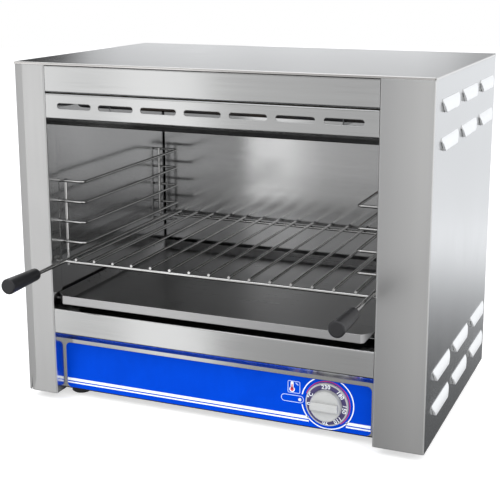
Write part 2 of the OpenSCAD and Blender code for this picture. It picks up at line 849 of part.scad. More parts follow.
module left_cavity_wall() {
    color("darkgray") placed() cavity_wall(cavity_back + seam_flange);
}

module right_cavity_wall() {
    color("darkgray") placed() mirrored() difference() {
        cavity_wall(cavity_back);
        for (i = [0:heater_count - 1], leg = [0, heater_leg_gap]) {
            translate([cavity_left, heater_first_y + i * heater_pitch + leg, heater_z])
                rotate([0, 90, 0]) cylinder(h = 6 * liner_t, d = heater_d + 2 * heater_gap, center = true);
        }
        translate([cavity_left, bulb_y, bulb_z]) rotate([0, 90, 0])
            cylinder(h = 6 * liner_t, d = capillary_d + 3, center = true);
    }
}

// The back wall, folded to the rear along the open seam
module back_cavity_wall() {
    x = cavity_left + corner_seam;
    line = [[x, cavity_back + seam_flange], [x, cavity_back], [cavity_right + liner_t, cavity_back]];
    color("darkgray") placed() translate([0, 0, floor_z]) linear_extrude(ceiling_z - floor_z)
        polygon(folded(line, 1, liner_t, liner_r));
}

// The ceiling, with a short flange up behind the slotted strip
module cavity_ceiling() {
    flange_top = vent_strip_top - bend_r;
    end_gap = sheet_t + strip_gap;
    line = [[ceiling_front, flange_top], [ceiling_front, ceiling_z], [cavity_back + liner_t, ceiling_z]];
    color("darkgray") placed() {
        along_x(strip_x + end_gap, strip_l - 2 * end_gap) polygon(folded(line, 1, liner_t, liner_r));
        wide_sheet(ceiling_z);
    }
}

// The part of the ceiling or floor behind the posts, which reaches over the cavity walls
module wide_sheet(z) {
    translate([cavity_left - liner_t, post_return + liner_t, z])
        cube([cavity_right - cavity_left + 2 * liner_t, cavity_back - post_return, liner_t]);
}

module cavity_floor() {
    front = strip_y + bend_r + sheet_t;
    color("darkgray") placed() {
        translate([strip_x, front, floor_z - liner_t]) cube([strip_l, cavity_back - front, liner_t]);
        wide_sheet(floor_z - liner_t);
    }
}

module tray_runner() {
    end_gap = 4;
    line = [[cavity_left, floor_z], [cavity_left, runner_top], [cavity_left + runner_w, runner_top]];
    along_y(post_return + end_gap, cavity_back - post_return - 2 * end_gap)
        polygon(folded(line, -1, sheet_t, bend_r));
}

module left_tray_runner() {
    color("silver") placed() tray_runner();
}

module right_tray_runner() {
    color("silver") placed() mirrored() tray_runner();
}

module rack_rails() {
    for (i = [0:rack_levels - 1]) {
        z = rail_z0 + i * rack_pitch;
        wire([[cavity_left, rail_front_y, z], [rail_x, rail_front_y, z],
            [rail_x, rail_rear_y, z], [cavity_left, rail_rear_y, z]], rail_d, rail_bend);
    }
}

module rack_uprights() {
    x = cavity_left + upright_reach;
    top = rail_z0 + (rack_levels - 1) * rack_pitch + rail_d * 0.5;
    for (y = [rail_front_y + upright_offset, rail_rear_y - upright_offset]) {
        rod([x, y, rail_z0 - rail_d * 1.5], [x, y, top], upright_d);
    }
}

module left_rack_rails() {
    color("lightgray") placed() rack_rails();
}

module right_rack_rails() {
    color("lightgray") placed() mirrored() rack_rails();
}

module left_rack_uprights() {
    color("lightgray") placed() rack_uprights();
}

module right_rack_uprights() {
    color("lightgray") placed() mirrored() rack_uprights();
}

// ---------- heaters, sensor and wool ----------
module heater(i) {
    y0 = heater_first_y + i * heater_pitch;
    y1 = y0 + heater_leg_gap;
    end_x = cavity_right + liner_t + heater_stub;
    color("slategray") placed() wire([[end_x, y0, heater_z], [heater_left, y0, heater_z],
        [heater_left, y1, heater_z], [end_x, y1, heater_z]], heater_d, heater_leg_gap * 0.4);
}

module at_heater_ends() {
    for (i = [0:heater_count - 1], leg = [0, heater_leg_gap]) {
        translate([cavity_right + liner_t, heater_first_y + i * heater_pitch + leg, heater_z])
            rotate([0, 90, 0]) children();
    }
}

module heater_insulators() {
    color("ivory") placed() at_heater_ends() {
        difference() {
            cylinder(h = insulator_l, d = insulator_d + 3);
            translate([0, 0, -cut]) cylinder(h = insulator_l + 2 * cut, d = heater_d + 2 * heater_gap);
        }
        translate([0, 0, heater_stub]) cylinder(h = insulator_l, d = heater_d);
        translate([0, 0, heater_stub + insulator_l - cut]) cylinder(h = stud_l + cut, d = screw_d);
    }
}

module heater_hangers() {
    margin = 10;
    y0 = heater_first_y - margin;
    l = (heater_count - 1) * heater_pitch + heater_leg_gap + 2 * margin;
    low = heater_z - heater_d / 2 - hanger_below;
    color("silver") placed() for (x = [cavity_left + hanger_inset, cavity_right - hanger_inset]) {
        difference() {
            translate([x, y0, low]) cube([hanger_t, l, ceiling_z - low]);
            for (i = [0:heater_count - 1], leg = [0, heater_leg_gap]) {
                translate([x, heater_first_y + i * heater_pitch + leg, heater_z]) rotate([0, 90, 0])
                    cylinder(h = 6 * hanger_t, d = heater_d + 2 * heater_gap, center = true);
            }
        }
    }
}

module sensor_bulb() {
    duct_x = cabinet_w - sheet_t - duct_w;
    rear_y = thermostat_y + thermostat_size[1];
    loop_y = rear_y + spade_l + capillary_loop;
    z = knob_z + 0.37 * thermostat_size[2];
    color("goldenrod") placed() {
        rod([bulb_end_x - bulb_l, bulb_y, bulb_z], [bulb_end_x, bulb_y, bulb_z], bulb_d);
        wire([[bulb_end_x - cut, bulb_y, bulb_z], [duct_x, bulb_y, bulb_z], [duct_x, bulb_y, z],
            [duct_x, loop_y, z], [knob_x, loop_y, z], [knob_x, rear_y, z]],
            capillary_d, capillary_loop / 2);
    }
}

module bulb_clips() {
    wall = 1;
    l = 8;
    color("silver") placed() for (part = [0.18, 0.82]) {
        x = bulb_end_x - part * bulb_l;
        difference() {
            translate([x - l / 2, bulb_y - bulb_d / 2 - wall, bulb_z - bulb_d / 2 - wall])
                cube([l, cavity_back - bulb_y + bulb_d / 2 + wall, bulb_d + 2 * wall]);
            translate([x, bulb_y, bulb_z]) rotate([0, 90, 0])
                cylinder(h = 2 * l, d = bulb_d + 2 * bore_gap, center = true);
            translate([x - l, bulb_y, bulb_z - bulb_d / 2 + wall / 2])
                cube([2 * l, cavity_back - bulb_y - 2 * wall, bulb_d - wall]);
        }
    }
}

module top_wool() {
    y = post_return + wool_margin;
    color("khaki") placed() translate([cavity_left + wool_margin, y, ceiling_z + liner_t])
        cube([cavity_right - cavity_left - 2 * wool_margin, cavity_back - wool_margin - y, wool_top_t]);
}

// Wool outside the left wall of the cavity, up to the planes y = rear_y and z = top
module side_wool(rear_y, top) {
    translate([cavity_left - liner_t - wool_side_t, side_wool_y, side_wool_z])
        cube([wool_side_t, rear_y - side_wool_y, top - side_wool_z]);
}

module left_wool() {
    color("khaki") placed() side_wool(cavity_back - wool_margin, ceiling_z - wool_margin);
}

module right_wool() {
    color("khaki") placed() mirrored() side_wool(bulb_y - wool_margin, heater_z - insulator_d);
}

module back_wool() {
    y = cavity_back + liner_t;
    h = ceiling_z - wool_margin - side_wool_z;
    color("khaki") placed() translate([cavity_left + wool_margin, y, side_wool_z])
        cube([cavity_right - cavity_left - 2 * wool_margin, back_y - y - 1, h]);
}

// ---------- electrical parts ----------
module terminal_block() {
    ways = 4;
    well_h = 8;
    corner = [gland_x - block_size[0] / 2, block_y, base_z + sheet_t];
    color("whitesmoke") placed() translate(corner) difference() {
        cube(block_size);
        for (i = [0:ways - 1]) {
            translate([block_size[0] * (i + 0.5) / ways, block_size[1] / 2, block_size[2] - well_h])
                cylinder(h = well_h + cut, d = 5);
        }
    }
}

module at_gland() {
    translate([gland_x, body_back, gland_z]) rotate([-90, 0, 0]) children();
}

module cable_gland() {
    cone_l = gland_out - gland_flange_l;
    color("dimgray") placed() at_gland() difference() {
        union() {
            cylinder(h = gland_flange_l, d = gland_hex / cos(30), $fn = 6);
            translate([0, 0, gland_flange_l - cut])
                cylinder(h = cone_l + cut, d1 = gland_hex, d2 = gland_bore_d + 4);
            translate([0, 0, -gland_thread_l]) cylinder(h = gland_thread_l + cut, d = gland_thread_d);
        }
        translate([0, 0, -gland_thread_l - cut])
            cylinder(h = gland_thread_l + gland_out + 2 * cut, d = gland_bore_d);
    }
}

module gland_nut() {
    color("dimgray") placed() at_gland() translate([0, 0, -back_t - gland_nut_l]) difference() {
        cylinder(h = gland_nut_l, d = (gland_hex + 2) / cos(30), $fn = 6);
        translate([0, 0, -cut]) cylinder(h = gland_nut_l + 2 * cut, d = gland_thread_d + 0.2);
    }
}

// Leads from the thermostat to the terminal block, and from the heater studs to a loom bar
module wiring() {
    route_z = base_z + sheet_t + 2 * lead_d;
    spade_y = thermostat_y + thermostat_size[1] + spade_l;
    stud_x = cavity_right + liner_t + heater_stub + insulator_l + stud_l;
    loom_x = stud_x + 7;
    loom_z = floor_z + 20;
    loom_end = 10;
    pair_gap = 24;
    color("firebrick") placed() {
        for (i = [0, 1]) {
            x = spade_x[i];
            end_x = gland_x + (1 - 2 * i) * pair_gap / 2;
            y = spade_y + pair_gap + 16 * i;
            cross_y = block_y - pair_gap + 5 - 10 * i;
            wire([[x, spade_y, knob_z], [x, y, knob_z], [x, y, route_z], [x, cross_y, route_z],
                [end_x, cross_y, route_z], [end_x, block_y, route_z]], lead_d, 5);
        }
        for (i = [0:heater_count - 1], leg = [0, 1]) {
            y = heater_first_y + i * heater_pitch + leg * heater_leg_gap;
            wire([[stud_x, y, heater_z], [loom_x, y, heater_z], [loom_x, y, loom_z]], lead_d, 3);
        }
        rod([loom_x, heater_first_y - loom_end, loom_z],
            [loom_x, heater_first_y + (heater_count - 1) * heater_pitch + heater_leg_gap + loom_end, loom_z],
            2.4 * lead_d);
    }
}

// ---------- grate ----------
module side_rod(x) {
    color("lightgray") placed()
        rod([x, grip_end_y + grip_l - grip_bore_l, side_rod_z],
            [x, grate_rear_y + cross_rail_d / 2, side_rod_z], side_rod_d);
}

module grate_rails() {
    color("lightgray") placed() for (y = [grate_front_y, grate_rear_y]) {
        rod([left_rod_x + side_rod_d / 2, y, cross_rail_z], [right_rod_x - side_rod_d / 2, y, cross_rail_z],
            cross_rail_d);
    }
}

module grate_wires() {
    color("lightgray") placed() for (i = [0:wire_count - 1]) {
        x = mid_x + (i - (wire_count - 1) / 2) * wire_pitch;
        rod([x, grate_front_y - wire_front_over, wire_z], [x, grate_rear_y + wire_rear_over, wire_z], wire_d);
    }
}

module grip(x) {
    dome = grip_d * 0.12;
    shoulder = 6;
    profile = concat(
        [[0, 0], [grip_d / 2 - dome, 0]],
        [for (a = [0:15:90]) [grip_d / 2 - dome + dome * sin(a), dome - dome * cos(a)]],
        [[grip_neck_d / 2 + 1.2, grip_l - shoulder]],
        [for (a = [15:15:90]) [side_rod_d / 2 + 1 + (grip_neck_d / 2 + 0.2 - side_rod_d / 2) * cos(a),
            grip_l - shoulder + shoulder * sin(a)]],
        [[0, grip_l]]);
    color("dimgray") placed() translate([x, grip_end_y, side_rod_z]) rotate([-90, 0, 0]) difference() {
        rotate_extrude() polygon(profile);
        translate([0, 0, grip_l - grip_bore_l]) cylinder(h = grip_bore_l + 1, d = side_rod_d + 2 * bore_gap);
    }
}

module left_side_rod() { side_rod(left_rod_x); }
module right_side_rod() { side_rod(right_rod_x); }
module left_grip() { grip(left_rod_x); }
module right_grip() { grip(right_rod_x); }

// ---------- crumb tray ----------
// Plan outline of the tray, drawn in by lean at the sides and the back and by wall all round.
// The front and its two cut corners stand upright.
function tray_plan(lean, wall) =
    let (x0 = tray_left + lean + wall,
         x1 = tray_right - lean - wall,
         y0 = tray_front_y + tray_cut - lean + wall * (sqrt(2) - 1),
         y1 = tray_back_y - lean - wall,
         c = tray_cut + wall * (sqrt(2) - 1))
    [[x0, y0], [tray_left + c, tray_front_y + wall], [tray_right - c, tray_front_y + wall],
        [x1, y0], [x1, y1], [x0, y1]];

module tray_block(wall, low, high) {
    skin = 0.01;
    hull() {
        translate([0, 0, low]) linear_extrude(skin) polygon(tray_plan(tray_lean, wall));
        translate([0, 0, high - skin]) linear_extrude(skin) polygon(tray_plan(0, wall));
    }
}

module crumb_tray() {
    color("gray") placed() difference() {
        tray_block(0, tray_z, tray_z + tray_h);
        tray_block(tray_t, tray_z + tray_t, tray_z + tray_h + 2 * tray_t * tray_h / (tray_h + tray_lean));
    }
}

// ---------- assembly ----------
top_cover();
left_side_panel();
right_side_panel();
upper_front_strip();
vent_strip();
lower_front_strip();
control_panel();
printed_film();
base_plate();
back_panel();
left_cavity_wall();
right_cavity_wall();
back_cavity_wall();
cavity_ceiling();
cavity_floor();
left_tray_runner();
right_tray_runner();
left_rack_rails();
right_rack_rails();
left_rack_uprights();
right_rack_uprights();
heater(0);  // front_heater
heater(1);  // middle_heater
heater(2);  // rear_heater
heater_hangers();
heater_insulators();
top_wool();
left_wool();
right_wool();
back_wool();
thermostat_body();
thermostat_shaft();
sensor_bulb();
bulb_clips();
knob_skirt();
knob_grip();
indicator_lamp();
terminal_block();
cable_gland();
gland_nut();
wiring();
feet();
foot_screws();
back_screws();
cover_screws();
left_side_rod();
right_side_rod();
grate_rails();
grate_wires();
left_grip();
right_grip();
crumb_tray();
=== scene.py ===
import json
import math

import bmesh
import bpy
from mathutils import Matrix, Vector


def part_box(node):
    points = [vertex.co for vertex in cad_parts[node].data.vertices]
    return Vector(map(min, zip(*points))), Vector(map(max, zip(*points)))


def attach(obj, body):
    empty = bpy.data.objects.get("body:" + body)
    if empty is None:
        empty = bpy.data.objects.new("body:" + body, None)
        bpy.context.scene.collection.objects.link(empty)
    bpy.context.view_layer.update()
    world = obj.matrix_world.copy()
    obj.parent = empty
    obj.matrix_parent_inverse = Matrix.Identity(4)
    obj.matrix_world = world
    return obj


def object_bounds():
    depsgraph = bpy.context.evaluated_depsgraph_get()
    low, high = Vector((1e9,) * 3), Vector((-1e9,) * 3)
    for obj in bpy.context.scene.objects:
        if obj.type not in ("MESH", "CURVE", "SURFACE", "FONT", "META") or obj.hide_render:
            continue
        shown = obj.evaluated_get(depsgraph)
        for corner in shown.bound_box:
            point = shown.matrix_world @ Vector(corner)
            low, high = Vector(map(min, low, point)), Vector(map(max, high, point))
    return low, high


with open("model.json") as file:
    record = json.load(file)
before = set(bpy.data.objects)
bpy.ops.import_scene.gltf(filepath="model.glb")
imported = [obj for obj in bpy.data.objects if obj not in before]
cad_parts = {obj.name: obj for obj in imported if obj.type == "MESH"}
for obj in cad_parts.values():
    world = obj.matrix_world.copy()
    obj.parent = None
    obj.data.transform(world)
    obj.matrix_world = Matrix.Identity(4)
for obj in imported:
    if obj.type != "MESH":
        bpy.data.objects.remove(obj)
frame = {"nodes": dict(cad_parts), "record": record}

cad_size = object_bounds()
scene = bpy.context.scene
nodes = frame["nodes"]
MM = 0.001

# ---------------------------------------------------------------- places on the cabinet

cover_low, cover_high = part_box("top_cover")
CORNER = Vector((cover_low.x, cover_low.y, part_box("left_side_panel")[0].z))
PANEL_HALF = (cover_high.x - cover_low.x) / 2


def at(x, y, z):
    """A point in millimetres from the cabinet's left front lower corner."""
    return CORNER + Vector((x, y, z)) * MM


def middle(name):
    low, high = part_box(name)
    return (low + high) / 2


# ---------------------------------------------------------------- camera

CAMERA_AT = (901, -1291, 621)
CAMERA_YAW = 22.31
CAMERA_DOWN = 12.59
CAMERA_ROLL = 0.03
LENS = 78.9
SENSOR = 36
SHIFT = (-0.0182, -0.0866)


def make_camera():
    data = bpy.data.cameras.new("camera")
    data.lens = LENS
    data.sensor_width = SENSOR
    data.shift_x, data.shift_y = SHIFT
    data.clip_start = 0.05
    data.clip_end = 100
    camera = bpy.data.objects.new("camera", data)
    scene.collection.objects.link(camera)
    camera.location = at(*CAMERA_AT)
    camera.rotation_euler = (
        math.radians(90 - CAMERA_DOWN), math.radians(CAMERA_ROLL), math.radians(CAMERA_YAW))
    scene.camera = camera


# ---------------------------------------------------------------- shader nodes in short

def node(tree, kind, values=None, **settings):
    """A shader node with its settings, and its inputs given as numbers or as links."""
    made = tree.nodes.new(kind)
    for key, value in settings.items():
        setattr(made, key, value)
    for key, value in (values or {}).items():
        if isinstance(value, bpy.types.NodeSocket):
            tree.links.new(value, made.inputs[key])
        else:
            made.inputs[key].default_value = value
    return made


def maths(tree, operation, *values):
    return node(tree, "ShaderNodeMath", dict(enumerate(values)), operation=operation).outputs[0]


def mix(tree, share, first, second, blend="MIX"):
    """A colour between two others, each given as red, green and blue or as a link."""
    ends = [(*end, 1) if isinstance(end, tuple) else end for end in (first, second)]
    return node(tree, "ShaderNodeMix", {0: share, 6: ends[0], 7: ends[1]}, data_type="RGBA",
                blend_type=blend).outputs[2]


def multiply(tree, first, second):
    return mix(tree, 1.0, first, second, "MULTIPLY")


def spread(tree, value, low, high, from_low=0.0, from_high=1.0):
    """A value carried from one range into another, and held at its ends."""
    return node(tree, "ShaderNodeMapRange", {
        "Value": value, "From Min": from_low, "From Max": from_high, "To Min": low,
        "To Max": high}).outputs[0]


def ramp(tree, value, stops, smooth=True):
    """A colour ramp through stops of a place from 0 to 1 and a brightness."""
    made = node(tree, "ShaderNodeValToRGB", {"Fac": value})
    band = made.color_ramp
    band.interpolation = "EASE" if smooth else "LINEAR"
    while len(band.elements) < len(stops):
        band.elements.new(0.5)
    for element, (place, shade) in zip(band.elements, stops):
        element.position = place
        element.color = (shade, shade, shade, 1)
    return made.outputs["Color"]


def object_place(tree):
    return node(tree, "ShaderNodeTexCoord").outputs["Object"]


def object_axes(tree):
    return node(tree, "ShaderNodeSeparateXYZ", {0: object_place(tree)}).outputs


# ---------------------------------------------------------------- studio

WHITE = (1.0, 1.0, 1.0)

# What the sheet metal sees around it: degrees from the front, minus to the left, and brightness.
ROUND_ABOUT = (
    (-180, 0.62), (-125, 0.80), (-115, 0.98), (-92, 0.90), (-80, 0.7), (-62, 0.38), (-48, 0.40),
    (-41, 0.88), (-34.5, 1.1),
    (-32.5, 0.84), (-30.5, 0.72), (-27, 0.64), (-23.5, 0.56), (-20, 0.56), (-18, 0.49),
    (-16.5, 0.42), (-15.3, 0.46), (-14, 0.61), (-12.5, 0.68), (0, 0.55), (15, 0.50), (50, 0.80),
    (64, 0.86), (70, 0.92), (98, 0.98), (112, 0.75), (180, 0.62))
# In front, how the brightness changes with the height above the horizon.
FRONT_FALL = (
    (-90, 0.02), (-40, 0.03), (-32, 0.12), (-27, 0.32), (-23.5, 0.58), (-21, 0.72), (-18, 0.82),
    (-14, 0.96), (-3, 1.0), (6, 0.80), (15, 0.50), (24, 0.9), (35, 1.15), (60, 1.1))
# Behind the cabinet, by height above the horizon: a bright table edge with a dark floor below.
BEHIND = (
    (-90, 0.04), (-40, 0.06), (-24, 0.11), (-21, 0.15), (-19, 0.24), (-17.2, 0.44),
    (-16, 0.68), (-15, 0.98), (-14, 1.08), (-12.5, 0.94), (-9.5, 0.90), (-4, 0.98),
    (0, 1.0), (3.4, 1.05), (4.4, 0.86), (5.6, 0.52), (6.5, 0.46), (10, 0.56), (16, 0.90),
    (24, 1.4), (60, 1.4), (90, 1.1))
BEHIND_TONE = (0.955, 0.975, 1.0)
# Behind and to the left it gets dark above the horizon, which only the cover's far corner mirrors.
BEHIND_TURN = (
    (-180, 0.4), (-171, 0.4), (-168.5, 0.62), (-167.3, 0.88), (-166, 1.0), (-162, 0.98),
    (-160, 1.0), (-157.5, 0.95), (-154.5, 1.0), (-152, 0.93), (-150, 0.83), (-149, 0.66),
    (-148.4, 0.45), (-147.6, 0.16), (-146.8, 0.02), (-138, 0.0), (-125, 0.6),
    (-110, 1.0), (180, 1.0))
# The heights between which BEHIND_TURN counts.
TURN_COUNTS = ((-3, 0.0), (2, 1.0), (7.5, 1.0), (12, 0.0))
# From here on, as shares of the way from front to back and from below to above.
BEHIND_FROM = ((0.52, 0.0), (0.75, 1.0))
OVERHEAD_FROM = ((0.78, 0.0), (0.87, 1.0))
OVERHEAD = (1.05, 1.06, 1.08)
SOFT_LIGHT = (0.94, 0.95, 0.96)

FLOOR_RADIUS = 7.0
FLOOR_GREY = (0.62, 0.62, 0.62)
FLOOR_GLOW = 0.6
FLOOR_DROP = 0.0002

# A tall card in front and to the left, in cabinet millimetres.
CARD_AT = (-439, -1288, -140)
CARD_SIZE = (278, 1520)
CARD_GLOW = 1.02

# Name, place and side in metres, and power in watts.
SOFTBOXES = (("key_light", (-1.3, -1.9, 2.3), 1.5, 42),
             ("fill_light", (2.1, -1.2, 1.7), 1.6, 26),
             ("rear_light", (0.6, 2.2, 2.0), 1.8, 24))
LIGHT_AIM = Vector((0, 0, 0.25))


def scaled(stops, half):
    """Stops in degrees from -half to half, as places from 0 to 1."""
    return [((place + half) / (2 * half), shade) for place, shade in stops]


def make_world():
    """Walls of uneven brightness for the metal to mirror, and plain white for everything else."""
    world = bpy.data.worlds.new("studio")
    world.use_nodes = True
    scene.world = world
    tree = world.node_tree
    tree.nodes.clear()
    way = node(tree, "ShaderNodeTexCoord").outputs["Generated"]
    x, y, z = node(tree, "ShaderNodeSeparateXYZ", {0: way}).outputs
    turn = maths(tree, "ARCTAN2", x, maths(tree, "MULTIPLY", y, -1.0))
    turn = maths(tree, "MULTIPLY_ADD", turn, 0.5 / math.pi, 0.5)
    height = maths(tree, "MULTIPLY_ADD", maths(tree, "ARCSINE", z), 1 / math.pi, 0.5)
    front = multiply(tree, ramp(tree, turn, scaled(ROUND_ABOUT, 180), False),
                     ramp(tree, height, scaled(FRONT_FALL, 90), False))
    turned = ramp(tree, turn, scaled(BEHIND_TURN, 180), False)
    turned = mix(tree, ramp(tree, height, scaled(TURN_COUNTS, 90)), WHITE, turned)
    behind = multiply(tree, ramp(tree, height, scaled(BEHIND, 90), False), turned)
    behind = multiply(tree, behind, BEHIND_TONE)
    backward = ramp(tree, maths(tree, "MULTIPLY_ADD", y, 0.5, 0.5), BEHIND_FROM)
    seen = mix(tree, backward, front, behind)
    seen = mix(tree, ramp(tree, height, OVERHEAD_FROM), seen, OVERHEAD)
    path = node(tree, "ShaderNodeLightPath").outputs
    seen = mix(tree, path["Is Diffuse Ray"], seen, SOFT_LIGHT)
    seen = mix(tree, path["Is Camera Ray"], seen, WHITE)
    light = node(tree, "ShaderNodeBackground", {"Color": seen, "Strength": 1.0}).outputs[0]
    node(tree, "ShaderNodeOutputWorld", {"Surface": light})
    scene.view_settings.view_transform = "Standard"


def studio_piece(name, shape, material):
    mesh = bpy.data.meshes.new(name)
    shape.to_mesh(mesh)
    shape.free()
    mesh.materials.append(material)
    piece = bpy.data.objects.new(name, mesh)
    scene.collection.objects.link(piece)
    return piece


def make_floor():
    paper = Finish("pale_floor", FLOOR_GREY, roughness=0.9, Emission_Color=(1, 1, 1, 1),
                   Emission_Strength=FLOOR_GLOW).material
    round_sheet = bmesh.new()
    bmesh.ops.create_circle(round_sheet, segments=96, radius=FLOOR_RADIUS, cap_ends=True)
    floor = studio_piece("floor", round_sheet, paper)
    floor.location.z = cad_size[0][2] - FLOOR_DROP
    floor.visible_glossy = False


def make_light_card():
    """The card is seen only as the soft band that it throws on metal."""
    glow = bpy.data.materials.new("card_glow")
    glow.use_nodes = True
    tree = glow.node_tree
    tree.nodes.clear()
    light = node(tree, "ShaderNodeEmission", {"Color": (1, 1, 1, 1), "Strength": CARD_GLOW})
    node(tree, "ShaderNodeOutputMaterial", {"Surface": light.outputs[0]})
    card = studio_piece("light_card", stand_up(plate(*CARD_SIZE), at(*CARD_AT)), glow)
    card.visible_camera = False
    card.visible_diffuse = False
    card.visible_shadow = False


def softbox(name, place, side, power):
    data = bpy.data.lights.new(name, "AREA")
    data.shape = "SQUARE"
    data.size = side
    data.energy = power
    lamp = bpy.data.objects.new(name, data)
    scene.collection.objects.link(lamp)
    lamp.location = place
    aim = LIGHT_AIM - Vector(place)
    lamp.rotation_euler = aim.to_track_quat("-Z", "Y").to_euler()
    lamp.visible_glossy = False


def make_studio():
    make_world()
    make_floor()
    make_light_card()
    for light in SOFTBOXES:
        softbox(*light)


# ---------------------------------------------------------------- shared effects

# In millimetres: how far the louvres stand out past the flat sheet, how deep the posts' faces
# and the strips' returns lie behind the front, and where the back wall's painted reflection starts
# and ends.
HOODS_OUT = (0.2, 0.7)
POST_DEPTH = (3, 1)
RETURN_DEPTH = (3, 6)
WALL_REFLECTION_ACROSS = (90, 430)
# How strong the posts' painted sheen is, across the side panels from left to right.
POST_PAINTED_SHEEN = ((0.0, 0.75), (0.1, 0.75), (0.88, 0.0), (0.975, 1.0))
# How bright the painted reflection on the back wall is, from left to right.
WALL_REFLECTION_STOPS = ((0.0, 0.45), (0.2, 0.45), (0.36, 1.0), (0.54, 0.9), (0.72, 0.25), (1.0, 0.1))


def new_group(name, inputs, outputs):
    """A node group with named inputs (name, kind, value) and outputs (name, kind)."""
    group = bpy.data.node_groups.new(name, "ShaderNodeTree")
    for label, kind, value in inputs:
        socket = group.interface.new_socket(label, in_out="INPUT", socket_type="NodeSocket" + kind)
        socket.default_value = value
    for label, kind in outputs:
        group.interface.new_socket(label, in_out="OUTPUT", socket_type="NodeSocket" + kind)
    source = group.nodes.new("NodeGroupInput").outputs
    result = group.nodes.new("NodeGroupOutput").inputs
    return group, source, result


def brushed_group():
    """Fine parallel scratches: a grey that varies round 0.5 and a height, longest where Stretch is
    small."""
    group, source, result = new_group(
        "brushed_lines",
        (("Stretch", "Vector", (1, 1, 1)), ("Fine", "Float", 900.0), ("Broad", "Float", 160.0)),
        (("Shade", "Float"), ("Height", "Float")))
    along = node(group, "ShaderNodeVectorMath", {0: object_place(group), 1: source["Stretch"]},
                 operation="MULTIPLY").outputs[0]
    fine = node(group, "ShaderNodeTexNoise", {
        "Vector": along, "Scale": source["Fine"], "Detail": 3.0, "Roughness": 0.6})
    broad = node(group, "ShaderNodeTexNoise", {
        "Vector": along, "Scale": source["Broad"], "Detail": 2.0, "Roughness": 0.5})
    both = maths(group, "MULTIPLY_ADD", fine.outputs["Fac"], 0.55,
                 maths(group, "MULTIPLY", broad.outputs["Fac"], 0.45))
    group.links.new(both, result["Shade"])
    group.links.new(fine.outputs["Fac"], result["Height"])
    return group


def smudge_group():
    """Cloudy patches, 0 to 1, as hands and cloths leave on polished surfaces."""
    group, source, result = new_group(
        "smudges", (("Scale", "Float", 9.0), ("Low", "Float", 0.42), ("High", "Float", 0.68)),
        (("Mask", "Float"),))
    place = object_place(group)
    bend = node(group, "ShaderNodeTexNoise", {"Vector": place, "Scale": 4.0, "Detail": 2.0})
    shifted = node(group, "ShaderNodeVectorMath", {
        0: bend.outputs["Color"], 1: (0.22, 0.22, 0.22), 2: place}, operation="MULTIPLY_ADD")
    cloud = node(group, "ShaderNodeTexNoise", {
        "Vector": shifted.outputs[0], "Scale": source["Scale"], "Detail": 5.0, "Roughness": 0.62})
    mask = spread(group, cloud.outputs["Fac"], 0.0, 1.0, source["Low"], source["High"])
    group.links.new(mask, result["Mask"])
    return group


def edge_group():
    """Softened edges: the rounded normal, and a mask that is 1 on an edge, which the steel and
    plastic finishes use for a painted highlight.
    """
    group, source, result = new_group(
        "rounded_edges_and_highlight", (("Radius", "Float", 0.0006),), (("Mask", "Float"), ("Normal", "Vector")))
    rounded = node(group, "ShaderNodeBevel", {"Radius": source["Radius"]}, samples=4)
    flat = node(group, "ShaderNodeNewGeometry")
    facing = node(group, "ShaderNodeVectorMath", {
        0: rounded.outputs[0], 1: flat.outputs["Normal"]}, operation="DOT_PRODUCT")
    mask = spread(group, facing.outputs["Value"], 0.0, 1.0, 0.995, 0.85)
    group.links.new(mask, result["Mask"])
    group.links.new(rounded.outputs[0], result["Normal"])
    return group


def speckle_group():
    """The fine grain of moulded plastic, rubber or paint."""
    group, source, result = new_group(
        "moulded_grain", (("Scale", "Float", 1500.0),), (("Shade", "Float"), ("Height", "Float")))
    place = object_place(group)
    grain = node(group, "ShaderNodeTexNoise", {
        "Vector": place, "Scale": source["Scale"], "Detail": 2.0, "Roughness": 0.5})
    broad = node(group, "ShaderNodeTexNoise", {"Vector": place, "Scale": 60.0, "Detail": 3.0})
    group.links.new(broad.outputs["Fac"], result["Shade"])
    group.links.new(grain.outputs["Fac"], result["Height"])
    return group


def panel_places_group():
    """Masks on the side panels: Hoods is 1 on the pressed louvres, Post is 1 on the narrow posts
    at the front, and the mask for the posts' painted sheen grows towards their brighter edges."""
    group, _, result = new_group(
        "panel_places", (), (("Hoods", "Float"), ("Post", "Float"), ("Painted Sheen", "Float")))
    across, depth = object_axes(group)[:2]
    past = [PANEL_HALF + far * MM for far in HOODS_OUT]
    hoods = spread(group, maths(group, "ABSOLUTE", across), 0.0, 1.0, *past)
    group.links.new(hoods, result["Hoods"])
    post = spread(group, depth, 0.0, 1.0, *[CORNER.y + deep * MM for deep in POST_DEPTH])
    group.links.new(post, result["Post"])
    share = spread(group, across, 0.0, 1.0, -PANEL_HALF, PANEL_HALF)
    group.links.new(ramp(group, share, POST_PAINTED_SHEEN, False), result["Painted Sheen"])
    return group


def returns_group():
    """A mask that is 1 on the folded returns, which lie behind the front plane of the strips."""
    group, _, result = new_group("folded_returns", (), (("Mask", "Float"),))
    deep = [CORNER.y + far * MM for far in RETURN_DEPTH]
    group.links.new(spread(group, object_axes(group)[1], 0.0, 1.0, *deep), result["Mask"])
    return group


def wall_reflection_group():
    """A mask that is 1 where the painted reflection on the back wall is brightest, left of the
    middle.
    """
    group, _, result = new_group("painted_wall_reflection", (), (("Mask", "Float"),))
    ends = [CORNER.x + far * MM for far in WALL_REFLECTION_ACROSS]
    share = spread(group, object_axes(group)[0], 0.0, 1.0, *ends)
    group.links.new(ramp(group, share, WALL_REFLECTION_STOPS, False), result["Mask"])
    return group


BRUSHED = brushed_group()
SMUDGES = smudge_group()
EDGES = edge_group()
SPECKLE = speckle_group()
PANEL_PLACES = panel_places_group()
RETURNS = returns_group()
WALL_REFLECTION_MASK = wall_reflection_group()


# ---------------------------------------------------------------- finishes

SOFT_EDGE = 0.0005
SCRATCHES = (0.3, 0.7)
HAND_MARKS = 0.03
